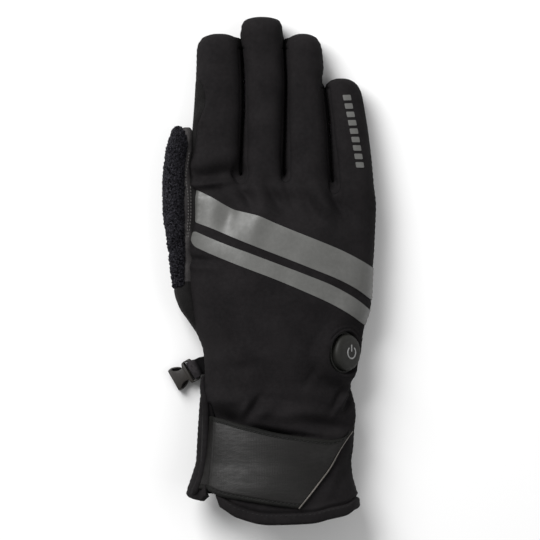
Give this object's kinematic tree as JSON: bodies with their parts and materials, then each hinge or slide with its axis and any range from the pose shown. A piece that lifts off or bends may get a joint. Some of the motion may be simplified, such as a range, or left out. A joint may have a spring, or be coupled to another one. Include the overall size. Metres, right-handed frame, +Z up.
{
  "type": "heated glove",
  "caption": "Right-hand winter glove in black softshell and leather, lying palm down, with a heat button, reflective stripes, a wrist strap and a small clip buckle.",
  "frame": {"origin": "the middle of the glove's bounding box, on the surface it lies on", "axes": "+Y towards the finger tips, +Z up out of the back of the hand, +X towards the little finger"},
  "size_m": [0.1186, 0.2844, 0.0458],
  "materials": {
    "softshell": "matt black brushed softshell",
    "leather": "dull charcoal leather",
    "terry": "dark navy-black pile",
    "strap_leather": "fine-grained charcoal leather",
    "reflective": "grey retroreflective film",
    "rubber": "matt moulded rubber",
    "plastic": "matt dark grey moulded plastic",
    "webbing": "black woven tape"
  },
  "bodies": {
    "root": {"back_panel": "softshell", "palm_panel": "leather", "fourchette_index_middle": "softshell", "fourchette_middle_ring": "softshell", "fourchette_ring_little": "softshell", "thumb_terry": "terry", "thumb_leather": "leather", "cuff": "softshell", "cuff_hem": "softshell", "slit_binding": "softshell", "wrist_strap": "strap_leather", "wide_stripe": "reflective", "narrow_stripe": "reflective", "button_rim": "rubber", "heat_button": "rubber", "buckle": "plastic", "buckle_webbing": "webbing"}
  },
  "joints": []
}
